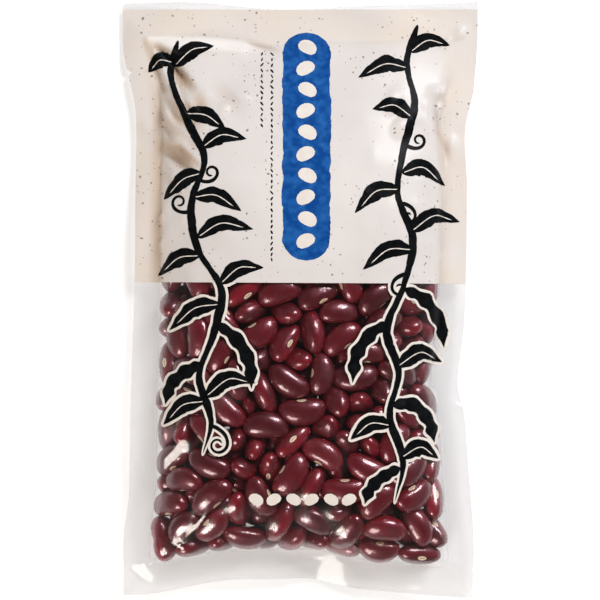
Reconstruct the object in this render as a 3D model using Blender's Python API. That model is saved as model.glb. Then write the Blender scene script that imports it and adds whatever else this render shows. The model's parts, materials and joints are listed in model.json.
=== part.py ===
"""A heat-sealed clear film bag full of dried kidney beans, lying on its back.

Metres, +Z up. X runs across the bag, +Y towards its top seal, and the bag rests on Z = 0.
The bag is shut and full, so it is one solid: a lumpy pillow inside a flat welded rim.
"""

import math
import random

import bmesh
import bpy
from mathutils import Vector, noise

# The welded rim seen from above: each list gives a place along the edge and where the edge is there.
LEFT_EDGE = (
    (-0.1130, -0.0668), (-0.0900, -0.0673), (-0.0745, -0.0654), (-0.0400, -0.0646), (0.0070, -0.0631),
    (0.0450, -0.0628), (0.0720, -0.0627), (0.0840, -0.0648), (0.0950, -0.0674), (0.1130, -0.0682),
)
RIGHT_EDGE = (
    (-0.1130, 0.0644), (-0.0935, 0.0659), (-0.0600, 0.0636), (-0.0420, 0.0621), (-0.0310, 0.0597),
    (-0.0106, 0.0619), (0.0072, 0.0628), (0.0450, 0.0633), (0.0660, 0.0626), (0.0813, 0.0659), (0.1130, 0.0682),
)
TOP_EDGE = ((-0.0690, 0.1130), (-0.0400, 0.1132), (-0.0082, 0.1107), (0.0150, 0.1115), (0.0690, 0.1135))
BOTTOM_EDGE = (
    (-0.0680, -0.1121), (-0.0560, -0.1117), (-0.0298, -0.1068), (-0.0120, -0.1062), (0.0063, -0.1064),
    (0.0210, -0.1098), (0.0690, -0.1137),
)
LENGTH = 0.2265

SIDE_SEAL = 0.0100
TOP_SEAL = 0.0137
BOTTOM_SEAL = 0.0112
SEAL_THICKNESS = 0.0006

# The weld line's height above the table, and how far from each end it starts to sink towards that end.
WELD_HEIGHT = 0.0078
WELD_HEIGHT_TOP = 0.0030
WELD_HEIGHT_BOTTOM = 0.0060
WELD_FADE_TOP = 0.075
WELD_FADE_BOTTOM = 0.040
LOWEST_WELD = 0.0012

# The rim outside the weld droops and waves, each side in its own beat.
RIM_DROOP = 0.0030
RIM_WAVE = 0.0009
RIM_WAVE_LENGTH = 0.062
RIM_WAVE_TURN = 1.7
RIM_WAVE_SHIFT = 2.1
RIM_WAVE_CHANGE = 0.030

# How far the film stands above the weld and hangs below it, and how much lower it is towards the sides.
FRONT_RISE = 0.0142
BACK_DROP = 0.0120
CROWN = 0.12

# How far in from each seal the pillow keeps rising, and how blunt its shoulder is.
SIDE_REACH, SIDE_BLUNT = 0.030, 0.62
BOTTOM_REACH, BOTTOM_BLUNT = 0.028, 0.55
TOP_REACH, TOP_BLUNT = 0.085, 0.85
BACK_BLUNT = 0.50

# Dried kidney beans, 16 mm long, whose backs push the taut film out in mounds.
BEAN_LENGTH = 0.0160
BEAN_WIDTH = 0.0102
BEAN_BULGE = 0.0034
BEAN_SINK = 0.0010
BEAN_COUNT = 150
CANDIDATES = 30
FILL_TOP = 0.080
FILL_FADE = 0.022
FULL_BEANS = 1.6
PRINTED_FROM = 0.007
PRINTED_SLACK = 0.45
LUMP_HEIGHT = 0.0011
LUMP_SIZE = 0.034
SEED = 7

# Creases where the shut film puckers at the top corners: from, to, how deep.
CREASES = (
    ((-0.0594, 0.0990), (-0.0522, 0.0800), 0.0014),
    ((-0.0545, 0.0965), (-0.0417, 0.0805), 0.0016),
    ((-0.0528, 0.0735), (-0.0480, 0.0620), 0.0010),
    ((-0.0524, 0.0592), (-0.0415, 0.0508), 0.0018),
    ((-0.0200, 0.0985), (-0.0090, 0.0945), 0.0010),
    ((0.0510, 0.0740), (0.0515, 0.0640), 0.0012),
    ((0.0515, 0.0650), (0.0550, 0.0580), 0.0015),
    ((0.0550, 0.0590), (0.0545, 0.0500), 0.0012),
)
CREASE_WIDTH = 0.0026
CREASE_START, CREASE_SPAN = 0.15, 0.70

# A tear notch in the left rim.
NOTCH_Y = 0.0862
NOTCH_X = -0.0662
NOTCH_RADIUS = 0.0022
NOTCH_CUTTER_HEIGHT = 0.03

# The grid's cells across each rim, across the pillow and along it.
RIM_CELLS = 2
BODY_COLUMNS = 46
BODY_ROWS = 82
SHARP_ANGLE = math.radians(50)

FILM_COLOUR = (0.22, 0.025, 0.030, 1.0)
FILM_ROUGHNESS = 0.25


def clear_scene():
    for old in list(bpy.data.objects):
        bpy.data.objects.remove(old)


def collection(name):
    made = bpy.data.collections.new(name)
    bpy.context.scene.collection.children.link(made)
    return made


def through(stations, at):
    """The smooth curve through the stations, read at one place along it."""
    last = len(stations) - 1
    i = min(max(sum(at >= place for place, _ in stations) - 1, 0), last - 1)

    def slope(k):
        (a, start), (b, end) = stations[max(k - 1, 0)], stations[min(k + 1, last)]
        return (end - start) / (b - a)

    (a, start), (b, end) = stations[i], stations[i + 1]
    step = b - a
    u = min(max((at - a) / step, 0), 1)
    return (
        start * (1 + 2 * u) * (1 - u) ** 2
        + end * u * u * (3 - 2 * u)
        + step * slope(i) * u * (1 - u) ** 2
        - step * slope(i + 1) * u * u * (1 - u)
    )


def shoulder(distance, reach, blunt):
    """0 on the seal, 1 where the pillow is at its full height."""
    share = min(max(distance / reach, 0), 1)
    return (1 - (1 - share) ** 2) ** blunt


def fade(distance, reach):
    share = min(max(distance / reach, 0), 1)
    return share * share * (3 - 2 * share)


def spread(index, cells, low, high, low_seal, high_seal):
    """Where a grid line lies from edge to edge: a few cells over each rim, and the rest between the seals."""
    last = cells + 2 * RIM_CELLS
    if index < RIM_CELLS:
        return low + low_seal * index / RIM_CELLS
    if index > last - RIM_CELLS:
        return high - high_seal * (last - index) / RIM_CELLS
    return low + low_seal + (index - RIM_CELLS) / cells * (high - high_seal - low - low_seal)


class Place:
    """One grid point of the bag: where it is in the plan, and how far inside each seal."""

    def __init__(self, column, row):
        guess = (row / (BODY_ROWS + 2 * RIM_CELLS) - 0.5) * LENGTH
        left, right = through(LEFT_EDGE, guess), through(RIGHT_EDGE, guess)
        self.x = spread(column, BODY_COLUMNS, left, right, SIDE_SEAL, SIDE_SEAL)
        bottom, top = through(BOTTOM_EDGE, self.x), through(TOP_EDGE, self.x)
        self.y = spread(row, BODY_ROWS, bottom, top, BOTTOM_SEAL, TOP_SEAL)
        self.from_side = min(self.x - left, right - self.x) - SIDE_SEAL
        self.from_bottom = self.y - bottom - BOTTOM_SEAL
        self.from_top = top - TOP_SEAL - self.y
        self.across = 2 * (column - RIM_CELLS) / BODY_COLUMNS - 1


def rim_wave(x, y):
    """-1 to 1 around the rim. The two sides wave out of step, and change over smoothly in the middle."""
    right_half = fade(x + RIM_WAVE_CHANGE, 2 * RIM_WAVE_CHANGE)
    aside = math.hypot(x, RIM_WAVE_CHANGE)
    turn = 2 * math.pi * (y + RIM_WAVE_TURN * aside) / RIM_WAVE_LENGTH
    return math.sin(turn + RIM_WAVE_SHIFT * right_half)


def weld_height(place):
    """The height of the weld's middle plane, which the film's rim carries outwards, drooping and waving."""
    inwards = min(place.from_side, place.from_bottom, place.from_top)
    outside = min(max(-inwards / SIDE_SEAL, 0), 1)
    towards_top = fade(WELD_FADE_TOP - place.from_top, WELD_FADE_TOP)
    towards_bottom = fade(WELD_FADE_BOTTOM - place.from_bottom, WELD_FADE_BOTTOM)
    height = WELD_HEIGHT
    height += (WELD_HEIGHT_TOP - WELD_HEIGHT) * towards_top
    height += (WELD_HEIGHT_BOTTOM - WELD_HEIGHT) * towards_bottom
    height += outside * (RIM_WAVE * rim_wave(place.x, place.y) - RIM_DROOP * height / WELD_HEIGHT)
    return max(height, LOWEST_WELD)


def bean_mounds(seed):
    """Where beans push against the film: centre, direction, size and how far each one sits below the film.

    Of a few random places for each next bean, the one whose middle and ends lie clearest of the others is kept."""
    draw = random.Random(seed)
    half_width, half_length = -LEFT_EDGE[0][1] - SIDE_SEAL, LENGTH / 2 - BOTTOM_SEAL
    reach = (BEAN_LENGTH - BEAN_WIDTH) / 2
    mounds, laid = [], []

    def ends(x, y, turn):
        return [(x + k * reach * math.cos(turn), y + k * reach * math.sin(turn)) for k in (-1, 0, 1)]

    def clearance(spot):
        return min((math.dist(a, b) for a in ends(*spot) for b in laid), default=1.0)

    for _ in range(BEAN_COUNT):
        spots = [
            (
                draw.uniform(-half_width, half_width),
                draw.uniform(-half_length, FILL_TOP + FILL_FADE / 2),
                draw.uniform(0, math.pi),
            )
            for _ in range(CANDIDATES)
        ]
        x, y, turn = max(spots, key=clearance)
        laid += ends(x, y, turn)
        mounds.append((x, y, math.cos(turn), math.sin(turn), draw.uniform(0.94, 1.12), draw.uniform(0, BEAN_SINK)))
    return mounds


def bulge(mounds, x, y):
    """How far the beans push the film out at one point: the highest of the domes that reach it."""
    best = 0.0
    for cx, cy, cosine, sine, size, sink in mounds:
        dx, dy = x - cx, y - cy
        if abs(dx) > BEAN_LENGTH or abs(dy) > BEAN_LENGTH:
            continue
        along = (dx * cosine + dy * sine) / (BEAN_LENGTH / 2 * size)
        aside = (dy * cosine - dx * sine) / (BEAN_WIDTH / 2 * size)
        best = max(best, BEAN_BULGE * math.sqrt(max(0, 1 - along * along - aside * aside)) - sink)
    return best


def crease(x, y):
    """How deep the puckers are at one point: a groove along each line, shallower towards its ends."""
    point = Vector((x, y))
    depth = 0.0
    for start, end, deepest in CREASES:
        start, line = Vector(start), Vector(end) - Vector(start)
        along = min(max((point - start).dot(line) / line.length_squared, 0), 1)
        away = (point - start - along * line).length / CREASE_WIDTH
        depth += deepest * math.exp(-away * away) * math.sin(math.pi * (CREASE_START + CREASE_SPAN * along))
    return depth


def film_heights(place, front_mounds, back_mounds):
    """The heights of the back film and of the front film at one place."""
    weld = weld_height(place)
    low, high = weld - SEAL_THICKNESS / 2, weld + SEAL_THICKNESS / 2
    if min(place.from_side, place.from_bottom, place.from_top) <= 0:
        return low, high
    sides = shoulder(place.from_side, SIDE_REACH, SIDE_BLUNT)
    bottom = shoulder(place.from_bottom, BOTTOM_REACH, BOTTOM_BLUNT)
    top = shoulder(place.from_top, TOP_REACH, TOP_BLUNT)
    crown = 1 - CROWN * place.across**2
    filled = sides * bottom * top
    beans = fade(FILL_TOP + FILL_FADE / 2 - place.y, FILL_FADE) * min(1, FULL_BEANS * sides * bottom)
    lump = noise.noise(Vector((place.x, place.y, SEED)) / LUMP_SIZE) * LUMP_HEIGHT
    slack = 1 - PRINTED_SLACK * fade(place.y - PRINTED_FROM, FILL_FADE)
    front = high + FRONT_RISE * filled * crown + filled * lump
    front += beans * slack * bulge(front_mounds, place.x, place.y)
    front -= crease(place.x, place.y) * min(1, (front - high) / CREASE_WIDTH)
    back = low - BACK_DROP * (sides * bottom) ** (BACK_BLUNT / SIDE_BLUNT) * top
    back -= beans * bulge(back_mounds, place.x, place.y)
    return max(back, 0.0), front


def film_solid():
    """A grid drawn out into a slab, whose two faces then take the heights of the front and back film."""
    columns, rows = BODY_COLUMNS + 2 * RIM_CELLS, BODY_ROWS + 2 * RIM_CELLS
    shape = bmesh.new()
    bmesh.ops.create_grid(shape, x_segments=columns, y_segments=rows, size=0.5)
    back = list(shape.verts)
    drawn = bmesh.ops.extrude_face_region(shape, geom=list(shape.faces))
    front = [item for item in drawn["geom"] if isinstance(item, bmesh.types.BMVert)]
    front_mounds, back_mounds = bean_mounds(SEED), bean_mounds(SEED + 1)
    for side, verts in enumerate((back, front)):
        for vert in verts:
            place = Place(round((vert.co.x + 0.5) * columns), round((vert.co.y + 0.5) * rows))
            vert.co = Vector((place.x, place.y, film_heights(place, front_mounds, back_mounds)[side]))
    bmesh.ops.recalc_face_normals(shape, faces=list(shape.faces))
    centre_on_base(shape)
    return shape


def centre_on_base(shape):
    """Puts the middle of the outline over the origin."""
    xs, ys = [v.co.x for v in shape.verts], [v.co.y for v in shape.verts]
    middle = Vector(((min(xs) + max(xs)) / 2, (min(ys) + max(ys)) / 2, 0))
    bmesh.ops.translate(shape, verts=list(shape.verts), vec=-middle)


def bag_material():
    material = bpy.data.materials.new("film_over_beans")
    material.use_nodes = True
    shader = material.node_tree.nodes["Principled BSDF"]
    shader.inputs["Base Color"].default_value = FILM_COLOUR
    shader.inputs["Roughness"].default_value = FILM_ROUGHNESS
    shader.inputs["Metallic"].default_value = 0.0
    return material


def make_notch_cutter(cutters):
    """A triangular prism whose point cuts the tear notch."""
    bpy.ops.mesh.primitive_cylinder_add(vertices=3, radius=NOTCH_RADIUS, depth=NOTCH_CUTTER_HEIGHT)
    cutter = bpy.context.object
    cutter.name = "tear_notch_cutter"
    cutter.location = (NOTCH_X, NOTCH_Y, WELD_HEIGHT_TOP)
    cutter.rotation_euler = (0, 0, -math.pi / 2)
    cutter.hide_render = True
    cutter.display_type = "WIRE"
    for home in list(cutter.users_collection):
        home.objects.unlink(cutter)
    cutters.objects.link(cutter)
    return cutter


def make_bag(parts, cutter):
    shape = film_solid()
    mesh = bpy.data.meshes.new("bag")
    shape.to_mesh(mesh)
    shape.free()
    bag = bpy.data.objects.new("bag", mesh)
    parts.objects.link(bag)
    mesh.materials.append(bag_material())
    mesh.shade_smooth()
    mesh.set_sharp_from_angle(angle=SHARP_ANGLE)
    notch = bag.modifiers.new("tear_notch", "BOOLEAN")
    notch.operation = "DIFFERENCE"
    notch.solver = "EXACT"
    notch.object = cutter
    return bag


def main():
    clear_scene()
    parts = collection("bag_of_dried_beans")
    cutters = collection("cutters")
    make_bag(parts, make_notch_cutter(cutters))


main()
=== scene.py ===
"""Looks of a heat-sealed clear film bag full of dried kidney beans, seen from straight above.

Metres, +Z up. The bag lies on its back on Z = 0 with its top seal towards +Y.
The upper half of the film is printed a speckled cream, and the lower half is clear over the beans.
"""

import json
import math
import random

import bmesh
import bpy
import numpy as np
from mathutils import Matrix, Quaternion, Vector, noise
from mathutils.bvhtree import BVHTree

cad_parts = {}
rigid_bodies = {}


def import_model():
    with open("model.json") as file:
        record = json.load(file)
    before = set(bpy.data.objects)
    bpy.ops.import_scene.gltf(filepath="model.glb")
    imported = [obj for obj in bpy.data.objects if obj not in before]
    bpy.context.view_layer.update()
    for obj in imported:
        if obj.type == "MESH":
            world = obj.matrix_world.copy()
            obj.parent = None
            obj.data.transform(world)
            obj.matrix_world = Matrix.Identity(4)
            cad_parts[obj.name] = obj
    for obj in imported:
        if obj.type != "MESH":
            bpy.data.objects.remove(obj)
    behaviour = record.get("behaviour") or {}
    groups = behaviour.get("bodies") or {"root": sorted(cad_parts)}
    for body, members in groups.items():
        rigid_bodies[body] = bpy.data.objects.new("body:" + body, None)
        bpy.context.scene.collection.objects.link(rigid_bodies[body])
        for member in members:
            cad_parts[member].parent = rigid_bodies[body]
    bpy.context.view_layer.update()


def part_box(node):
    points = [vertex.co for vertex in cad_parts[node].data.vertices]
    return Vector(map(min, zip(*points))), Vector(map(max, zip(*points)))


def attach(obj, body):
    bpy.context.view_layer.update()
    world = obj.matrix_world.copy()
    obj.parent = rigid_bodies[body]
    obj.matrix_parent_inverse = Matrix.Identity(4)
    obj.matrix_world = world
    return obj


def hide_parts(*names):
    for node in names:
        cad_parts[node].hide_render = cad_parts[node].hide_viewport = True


def metres(given):
    """A length in millimetres as metres, or all the lengths in rows of them."""
    return round(given / 1000, 7) if isinstance(given, int | float) else tuple(metres(part) for part in given)


# The bag's edges seen from above, in millimetres: a place along the edge, and where the edge is there.
LEFT_EDGE = metres((
    (-113, -66.8), (-90, -67.3), (-74.5, -65.4), (-40, -64.6), (7, -63.1), (45, -62.8), (72, -62.7),
    (84, -64.8), (95, -67.4), (113, -68.2),
))
RIGHT_EDGE = metres((
    (-113, 64.4), (-93.5, 65.9), (-60, 63.6), (-42, 62.1), (-31, 59.7), (-10.6, 61.9), (7.2, 62.8),
    (45, 63.3), (66, 62.6), (81.3, 65.9), (113, 68.2),
))
TOP_EDGE = metres((
    (-69, 113), (-40, 113.2), (-8.2, 110.7), (15, 111.5), (69, 113.5),
))
BOTTOM_EDGE = metres((
    (-68, -112.1), (-56, -111.7), (-29.8, -106.8), (-12, -106.2), (6.3, -106.4), (21, -109.8), (69, -113.7),
))
LENGTH = 0.2265
SIDE_SEAL, TOP_SEAL, BOTTOM_SEAL = 0.0100, 0.0137, 0.0112
SEAL_THICKNESS = 0.0006
WELD_HEIGHT, WELD_HEIGHT_TOP, WELD_HEIGHT_BOTTOM = 0.0078, 0.0030, 0.0060
WELD_FADE_TOP, WELD_FADE_BOTTOM = 0.075, 0.040
LOWEST_WELD = 0.0012
RIM_DROOP, RIM_WAVE, RIM_WAVE_LENGTH = 0.0030, 0.0009, 0.062
RIM_WAVE_TURN, RIM_WAVE_SHIFT, RIM_WAVE_CHANGE = 1.7, 2.1, 0.030
FRONT_RISE, BACK_DROP, CROWN = 0.0142, 0.0120, 0.12
SIDE_REACH, SIDE_BLUNT = 0.030, 0.62
BOTTOM_REACH, BOTTOM_BLUNT = 0.028, 0.55
TOP_REACH, TOP_BLUNT = 0.085, 0.85
BACK_BLUNT = 0.50
NOTCH_Y, NOTCH_DEPTH = 0.0862, 0.0016

# Folds in the film's front, in millimetres: from x and y, to x and y, how deep (up if below 0), how wide.
FOLDS = metres((
    (-59.4, 99, -52.2, 80, 2.3, 1.4), (-54.5, 96.5, -41.7, 80.5, 2.8, 1.7),
    (-57.5, 97.5, -45.5, 74.5, -1.2, 1.4), (-50.5, 81.5, -43.5, 70, -2, 1.8),
    (-52.2, 73.5, -47, 61.2, -1.6, 1.6), (-53.6, 72, -49, 61.5, 2, 1.4), (-58, 98, -48, 91.5, 1.6, 1.8),
    (-44, 76.5, -38.4, 70.5, -1, 1.4), (-51.1, 60.4, -39.5, 51.7, -2.4, 2.5),
    (-53, 59.2, -42, 50.4, 3, 2.9), (-54.5, 56, -46.5, 48, -0.9, 2), (-58, 96.2, -22.5, 95.5, -2, 2.6),
    (-20, 98.5, -9, 94.5, 1.6, 1.6), (-33, 83, -23, 70, 0.9, 4.5), (60.5, 101, 54, 97, -1.2, 1.2),
    (50, 79.3, 55, 78.9, -2.2, 1.8), (53.7, 74.5, 52.8, 65, -1.5, 1.3), (50, 76.2, 55.5, 75.5, 1.4, 1.4),
    (51, 74, 51.5, 64, 1.7, 1.3), (51.5, 65, 55, 58, 2.3, 1.3), (55, 59, 54.5, 50, 1.9, 1.3),
    (48, 73.5, 50, 59, -1.4, 1.8), (44, 70, 46, 67, -1.4, 1.4), (35, 83, 37, 60, 1, 4.2),
    (-58.4, -65.9, -43.6, -48.1, -2.9, 4.3), (-40.5, -44.7, -43.7, -57.3, -0.9, 2.9),
    (-53.9, -74.6, -51.9, -51.2, -0.7, 1.9), (16.5, -89.5, 25, -95, -1.2, 2), (0.5, -89, 8, -94, -1.1, 1.8),
    (-53, -90, -42, -95.5, -0.9, 1.4), (-40.5, -87.2, -33.8, -78, -0.8, 1.8), (56, -93, 50, -89, -0.8, 1.2),
    (-55.5, -36, -50.5, -40, -0.9, 1.6), (50, -18, 53, -24, -0.9, 1.6),
))
FOLD_START, FOLD_SPAN = 0.15, 0.70

# Where small wrinkles lie beside those folds, with painted shade over them, in millimetres: from x and y, to
# x and y, how much, how wide.
WRINKLED = metres((
    (-48.8, 88.9, -35.9, 73, 1.7, 3), (-51.5, 79, -45, 64.6, 1.8, 2.8), (-45, 76.8, -38.2, 62.3, 1.5, 3.6),
    (-47.3, 60.8, -38.2, 50.2, 1.6, 3.4), (-51.1, 48.6, -45, 39.5, 1.4, 3.4),
))
WRINKLE_TURN, WRINKLE_LENGTH, WRINKLE_WIDTH = math.radians(-55), 0.0085, 0.0020
WRINKLE_HEIGHT, WRINKLE_FULL = 0.0011, 0.0012
# How much the wrinkled places and their ripples add to the depth that sets the painted shade in the creases.
PAINTED_SHADE_BY_WRINKLED, PAINTED_SHADE_BY_WRINKLES = 1.05, 2.6

# The film's own mesh: cells between the seals and cells across each rim, and the walls' thickness.
COLUMNS, ROWS = 102, 172
SIDE_CELLS, BOTTOM_CELLS, TOP_CELLS = 12, 15, 12
WITHIN = (slice(SIDE_CELLS, SIDE_CELLS + COLUMNS + 1), slice(BOTTOM_CELLS, BOTTOM_CELLS + ROWS + 1))
FINE_CELLS = (0.35, 0.40, 0.50, 0.65, 0.80)
FILM_THICKNESS = 0.00015
FILM_CLEARANCE = 0.00042
FOLD_CLEARANCE = FILM_CLEARANCE / 6
FILM_STEPS, FILM_ROUNDING = 900, 2
FILM_MIRROR = 0.035
RIM_EDGE = 0.0004
BUCKLE_START = 0.002
FAR_IN = 0.05
RAY_ABOVE, RAY_BELOW, OUT_OF_REACH = 0.05, -0.01, 1.0

# Buckles in the rims, in millimetres: from x and y, to x and y, how high (hollow if below 0), how wide.
RIM_BUCKLES = metres((
    (-3.3, -111.7, 17.5, -112.3, -3.5, 4.3), (5.9, -117.3, 2.4, -99.5, -3.3, 8.6),
    (11.6, -97.5, 19.3, -102.5, 0.5, 3.4), (-65, -102.8, -57.4, -108.2, -1.4, 2.9),
    (59.8, -39.5, 63.4, -42.5, 1.1, 2.2), (-60, -100, -53, -96.5, 0.8, 1.2), (-64, -58, -59, -64, 1, 2.6),
    (-20, -100, -19.5, -106, 0.4, 1.2), (58.5, -99, 61, -101.5, 0.5, 1.2), (-61, 69, -56, 64, 0.8, 3),
    (56, 61, 61, 56, 0.7, 3), (60, 101.4, 62.2, 102.4, 1.3, 2.2), (61.8, 101.5, 56, 98, 0.8, 1.2),
    (54.8, 60, 55.6, 53, -1.2, 1.3), (57.4, 61.5, 58, 52.5, 1, 1.5),
))

# Dried kidney beans: size, how much they differ, and how many fill the bag up to where.
BEAN_LENGTH, BEAN_WIDTH, BEAN_THICKNESS = 0.0171, 0.0099, 0.0079
BEAN_COUNT = 335
BEAN_SIZES, BEAN_LENGTHS, BEAN_WIDTHS = (0.92, 1.06), (0.97, 1.04), (0.97, 1.03)
BEAN_BEND, BEND_MIDDLE = 0.0012, 0.35
BEAN_SQUARENESS, BEAN_TAPER, BEAN_THINNING = 2.25, 0.10, 0.06
SCAR_RAISED, SCARS_UP = 0.45, 0.70
SCAR_SWELLING, SWELLING_LONG, SWELLING_HIGH = 0.00045, 0.30, 0.45
SCAR_HALF_LENGTH, SCAR_HALF_WIDTH = 0.00185, 0.00080
FILL_TOP = 0.081
FRONT_SLACK = 0.0022
LAID_AT = 0.0005
CLEAR_OF_SEAL = 0.0006
SEED = 11

# How the beans settle: where they are poured, the balls in each, how they grow and how far they move.
POURED_ASIDE, POURED_FROM, POURED_MARGIN = 0.055, -0.100, BEAN_THICKNESS / 3
LEAST_ROOM = 1.5 * BEAN_THICKNESS
BALL_BACK, BALL_OUT, BALL_BULGE, BALL_ROLL = 0.0005, 0.9, 1.1, 0.3
SETTLE_STEPS, SEED_SIZE, GROWTH = 500, 0.55, 0.9
PAIRS_EVERY, PAIR_REACH = 4, 1.15 * BEAN_LENGTH
MOVE_SHARE, LONGEST_MOVE = 0.9, 0.0015
SPIN_SHARE, LONGEST_SPIN = 0.6, 0.25
FILL_TOP_PUSH, FLATTEN = 0.5, 0.05
DRAW_OUT, DRAW_DOWN, DRAWN_WITHIN = 0.00008, 0.00002, 0.8 * BEAN_WIDTH
TINY = 1e-9

# Where the cream print begins and ends, with the slight tilt of its lower edge.
PRINT_BOTTOM, PRINT_TILT, PRINT_TOP = 0.00645, -0.0055, 0.1106

# One pixel of the picture at the bag, the pixel that lies over the origin and the picture's middle column.
PIXEL = 0.00038
MIDDLE, MIDDLE_COLUMN = (300.5, 300.0), 300

# Ink: the size of its mesh's cells, how rough its edges are, and how far it stands on and in the film.
MARK_CELL, FEWEST_ALONG, FEWEST_ACROSS = 0.0009, 6, 2
MARK_WAVE, MARK_NICK, NICKS, SIDES_APART = 0.0035, 0.0011, 0.5, 0.02
INK_LIFT, INK_SUNK = 0.00006, 0.00005
SHARP_ANGLE = math.radians(62)
SPINE_STEP = 0.0002

# The forms of the marks: the share of the length and the power of each end, and how many times each swells.
STEM_ENDS, STEM_SWELLINGS, STEM_SWELLING = (0.04, 0.5, 0.12, 0.7), 9, 0.16
POD_ENDS, POD_SWELLINGS, POD_SWELLING, POD_NECK = (0.16, 0.8, 0.22, 0.9), 8, 0.17, 0.08
TENDRIL_ENDS, TENDRIL_THINNING = (0.05, 0.5, 0.05, 0.5), 0.55
LEAF_LEAN, LEAF_FULLNESS = 0.75, 0.85

# The vines: half widths, how rough, and the pale outline of the marks that reach below a pixel row.
STEM_HALF, LEAF_HALF, POD_HALF, TENDRIL_HALF, VEIN_HALF = 0.0016, 0.0032, 0.0028, 0.0008, 0.00022
VINE_WOBBLE = 0.22
OUTLINE, OUTLINE_FROM, OUTLINE_FULLNESS = 0.0010, 278, 0.4
VEIN_FROM, VEIN_TO = 0.1, 0.7
TENDRIL_STEPS, TENDRIL_TURN = 18, 0.04

# The other marks, in pixels of the picture but for their half widths.
SEED_ROWS = ((262, 54, 128), (272, 54, 264))
SEED_LEAN, SEED_REACH, SEED_APART = 1.8, 1.9, (5.2, 6.0)
SEED_HALF = (0.00026, 0.00038)
BANNER = ((306.5, 32), (306.5, 100), (306.5, 180), (306.5, 261))
BANNER_HALF, BANNER_END, BANNER_WOBBLE = 0.0090, 0.096, 0.07
# Rows of pale beans: how many, first, step, then each one's reach, lean, bend, shift, half width and wobble.
BEAN_ROWS = (
    (10, (306.5, 49), (0, 21.6), 8.5, 4.5, 2.2, 1 / 3, 0.0026, 0.05),
    (6, (256, 499), (18.6, 0), 7, 3.0, 2, 0, 0.0021, 0),
)

CAMERA_HEIGHT = 1.6
RIM_LEVEL = 0.006
FRAME_WIDTH = 0.228
SENSOR = 36.0
CLIPPED = (0.01, 20.0)

# How a picture's numbers stand for light.
SRGB_OFFSET, SRGB_POWER, SRGB_SLOPE, SRGB_BEND = 0.055, 2.4, 12.92, 0.04045


def colour(*parts):
    """A colour given as a picture stores it, red, green and blue up to 255, as the shaders take it."""
    light = []
    for part in parts:
        part /= 255
        bent = ((part + SRGB_OFFSET) / (1 + SRGB_OFFSET)) ** SRGB_POWER
        light.append(bent if part > SRGB_BEND else part / SRGB_SLOPE)
    return (*light, 1.0)


def as_mesh(name, shape):
    """Turns a bmesh that is done with into a mesh."""
    mesh = bpy.data.meshes.new(name)
    shape.to_mesh(mesh)
    shape.free()
    return mesh


def placed(name, data):
    """Puts a mesh, a lamp or a camera into the scene."""
    made = bpy.data.objects.new(name, data)
    bpy.context.scene.collection.objects.link(made)
    return made


# Plan and heights of the bag


def through(stations, at):
    """The smooth curve through the stations, read at many places along it."""
    places, values = (np.array(list(column), float) for column in zip(*stations, strict=True))
    last = len(places) - 1
    before = np.maximum(np.arange(last + 1) - 1, 0)
    after = np.minimum(np.arange(last + 1) + 1, last)
    slopes = (values[after] - values[before]) / (places[after] - places[before])
    i = np.clip(np.searchsorted(places, at, side="right") - 1, 0, last - 1)
    step = places[i + 1] - places[i]
    u = np.clip((at - places[i]) / step, 0, 1)
    return (
        values[i] * (1 + 2 * u) * (1 - u) ** 2
        + values[i + 1] * u * u * (3 - 2 * u)
        + step * slopes[i] * u * (1 - u) ** 2
        - step * slopes[i + 1] * u * u * (1 - u)
    )


def shoulder(distance, reach, blunt):
    """0 on the seal, 1 where the pillow is at its full height."""
    share = np.clip(distance / reach, 0, 1)
    return (1 - (1 - share) ** 2) ** blunt


def fade(distance, reach):
    share = np.clip(distance / reach, 0, 1)
    return share * share * (3 - 2 * share)


def inside(x, y):
    """How far in from the side seals, the bottom seal and the top seal each point is."""
    left, right = through(LEFT_EDGE, y), through(RIGHT_EDGE, y)
    side = np.minimum(x - left, right - x) - SIDE_SEAL
    return side, y - through(BOTTOM_EDGE, x) - BOTTOM_SEAL, through(TOP_EDGE, x) - TOP_SEAL - y


def weld_height(x, y):
    """The height of the weld's middle plane, which the film's rim carries outwards, drooping and waving."""
    side, bottom, top = inside(x, y)
    outside = np.clip(-np.minimum(np.minimum(side, bottom), top) / SIDE_SEAL, 0, 1)
    height = WELD_HEIGHT + (WELD_HEIGHT_TOP - WELD_HEIGHT) * fade(WELD_FADE_TOP - top, WELD_FADE_TOP)
    height += (WELD_HEIGHT_BOTTOM - WELD_HEIGHT) * fade(WELD_FADE_BOTTOM - bottom, WELD_FADE_BOTTOM)
    right_half = fade(x + RIM_WAVE_CHANGE, 2 * RIM_WAVE_CHANGE)
    aside = np.sqrt(x * x + RIM_WAVE_CHANGE**2)
    turn = 2 * math.pi * (y + RIM_WAVE_TURN * aside) / RIM_WAVE_LENGTH + RIM_WAVE_SHIFT * right_half
    height += outside * (np.sin(turn) * RIM_WAVE - RIM_DROOP * height / WELD_HEIGHT)
    return np.maximum(height, LOWEST_WELD)


def pillow(x, y):
    """The heights of the back and the front of the filled bag, before the beans show through them."""
    side, bottom, top = inside(x, y)
    left, right = through(LEFT_EDGE, y), through(RIGHT_EDGE, y)
    across = (2 * x - left - right) / (right - left - 2 * SIDE_SEAL)
    sides, ends = shoulder(side, SIDE_REACH, SIDE_BLUNT), shoulder(bottom, BOTTOM_REACH, BOTTOM_BLUNT)
    head = shoulder(top, TOP_REACH, TOP_BLUNT)
    weld = weld_height(x, y)
    front = weld + FRONT_RISE * sides * ends * head * (1 - CROWN * across * across)
    back = weld - BACK_DROP * (sides * ends) ** (BACK_BLUNT / SIDE_BLUNT) * head
    return np.maximum(back, 0), front


# Settling the beans in the bag


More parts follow.
